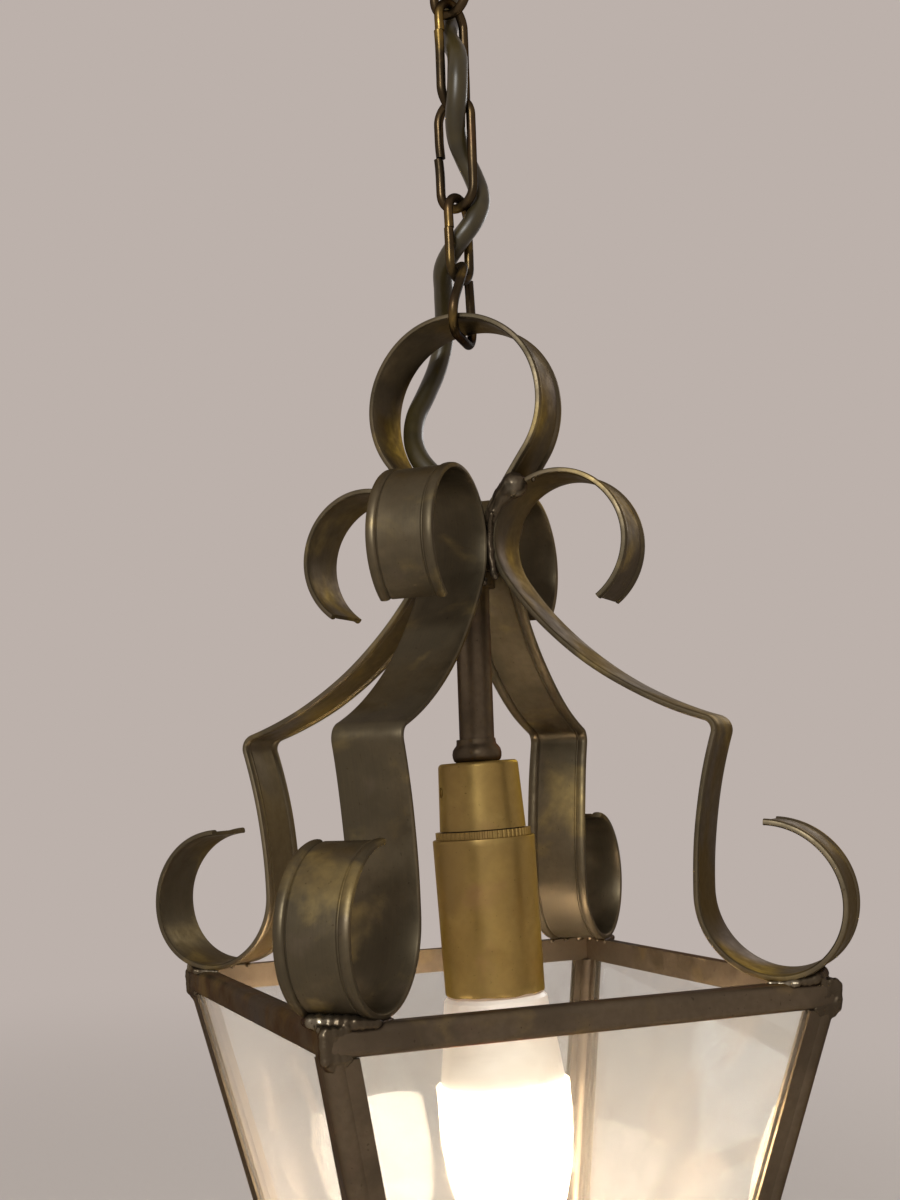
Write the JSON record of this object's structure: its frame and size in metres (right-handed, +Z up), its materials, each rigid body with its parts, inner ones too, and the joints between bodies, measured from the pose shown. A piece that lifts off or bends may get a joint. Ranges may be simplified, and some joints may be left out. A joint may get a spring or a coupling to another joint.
{
  "type": "lantern pendant light",
  "caption": "Square tapered glass lantern on brass S-scrolls under a ring, hung by hook and chain from a round ceiling canopy, with a candle lamp in a brass holder.",
  "frame": {"origin": "centre of the crossbar's upper face, which lies on the ceiling, midway between its two screw holes", "axes": "+Z up, square to the ceiling; +X along the line of the two ceiling screws; the glass case's sides face -Y, +X, +Y and -X"},
  "size_m": [0.1594, 0.1594, 0.5366],
  "materials": {
    "zinc_steel": "zinc-plated pressed steel",
    "canopy_brass": "antiqued spun brass, satin",
    "chain_brass": "antiqued brass wire, dark with bright wear",
    "strip_brass": "aged rolled brass strip, brown-olive with gold wear",
    "stem_brass": "aged turned brass",
    "solder": "lumpy soft solder, tarnished",
    "holder_brass": "satin lacquered brass",
    "contact_brass": "bright brass",
    "phenolic": "moulded phenolic resin",
    "block_plastic": "white moulded polyamide",
    "flex_sheath": "glossy bronze-olive sheath",
    "flex_core": "insulated cores",
    "lamp_metal": "nickel-plated",
    "lamp_white": "white thermoplastic, smooth",
    "lamp_opal": "opal thermoplastic, smooth",
    "led_board": "white-coated metal-core board",
    "case_brass": "aged drawn brass, brown with gold wear",
    "clear_glass": "clear drawn sheet glass"
  },
  "bodies": {
    "ceiling_fitting": {"ceiling_bracket": "zinc_steel", "nipple": "zinc_steel", "nipple_nut": "zinc_steel", "canopy": "canopy_brass", "outlet_bush": "phenolic", "hanging_loop": "canopy_brass", "terminal_block": "block_plastic", "terminal_screws": "contact_brass", "flex": "flex_sheath", "flex_cores_ceiling": "flex_core"},
    "link_1": {"chain_link_1": "chain_brass"},
    "link_2": {"chain_link_2": "chain_brass"},
    "link_3": {"chain_link_3": "chain_brass"},
    "link_4": {"chain_link_4": "chain_brass"},
    "hook_link": {"hook_link": "chain_brass"},
    "lantern": {"hanging_ring": "strip_brass", "scroll_fl": "strip_brass", "scroll_fr": "strip_brass", "scroll_br": "strip_brass", "scroll_bl": "strip_brass", "hub_block": "stem_brass", "hub_solder": "solder", "stem_tube": "stem_brass", "stem_top_nut": "stem_brass", "stem_lower_nut": "stem_brass", "stem_bush": "phenolic", "holder_collar": "holder_brass", "holder_cap": "holder_brass", "cap_screw": "holder_brass", "flex_cores_holder": "flex_core", "holder_core": "phenolic", "thread_shell": "contact_brass", "centre_contact": "contact_brass", "core_terminals": "contact_brass", "top_rail_front": "case_brass", "top_rail_right": "case_brass", "top_rail_back": "case_brass", "top_rail_left": "case_brass", "foot_rail_front": "case_brass", "foot_rail_right": "case_brass", "foot_rail_back": "case_brass", "foot_rail_left": "case_brass", "post_fl": "case_brass", "post_fr": "case_brass", "post_br": "case_brass", "post_bl": "case_brass", "pane_front": "clear_glass", "pane_right": "clear_glass", "pane_back": "clear_glass", "pane_left": "clear_glass", "corner_solder": "solder"},
    "skirt": {"knurled_ring": "holder_brass", "holder_skirt": "holder_brass"},
    "lamp": {"lamp_cap": "lamp_metal", "lamp_insulator": "phenolic", "lamp_contact": "lamp_metal", "lamp_neck": "lamp_white", "lamp_diffuser": "lamp_opal", "led_board": "led_board"}
  },
  "joints": [
    {"name": "link_1_swing", "type": "hinge", "parent": "ceiling_fitting", "child": "link_1", "pos_m": [0, 0, -0.0522], "axis": [0.8616, 0.5075, 0], "range_deg": [-15, 15], "deforming": ["flex"]},
    {"name": "link_2_swing", "type": "hinge", "parent": "link_1", "child": "link_2", "pos_m": [0, 0, -0.08195], "axis": [0.5075, -0.8616, 0], "range_deg": [-15, 15], "deforming": ["flex"]},
    {"name": "link_3_swing", "type": "hinge", "parent": "link_2", "child": "link_3", "pos_m": [0, 0, -0.1123], "axis": [0.8616, 0.5075, 0], "range_deg": [-15, 15], "deforming": ["flex"]},
    {"name": "link_4_swing", "type": "hinge", "parent": "link_3", "child": "link_4", "pos_m": [0, 0, -0.14265], "axis": [0.5075, -0.8616, 0], "range_deg": [-15, 15], "deforming": ["flex"]},
    {"name": "hook_swing", "type": "hinge", "parent": "link_4", "child": "hook_link", "pos_m": [0, 0, -0.1647], "axis": [0.829, 0.5592, 0], "range_deg": [-15, 15], "deforming": ["flex"]},
    {"name": "lantern_swing", "type": "hinge", "parent": "hook_link", "child": "lantern", "pos_m": [0, 0, -0.17961], "axis": [0.606, 0.7955, 0], "range_deg": [-20, 20], "deforming": ["flex"]},
    {"name": "skirt_turn", "type": "hinge", "parent": "lantern", "child": "skirt", "pos_m": [0, 0, -0.30631], "axis": [-0.037, 0.0155, 0.9992], "continuous": true},
    {"name": "lamp_turn", "type": "hinge", "parent": "lantern", "child": "lamp", "pos_m": [0, 0, -0.30631], "axis": [-0.037, 0.0155, 0.9992], "continuous": true}
  ]
}
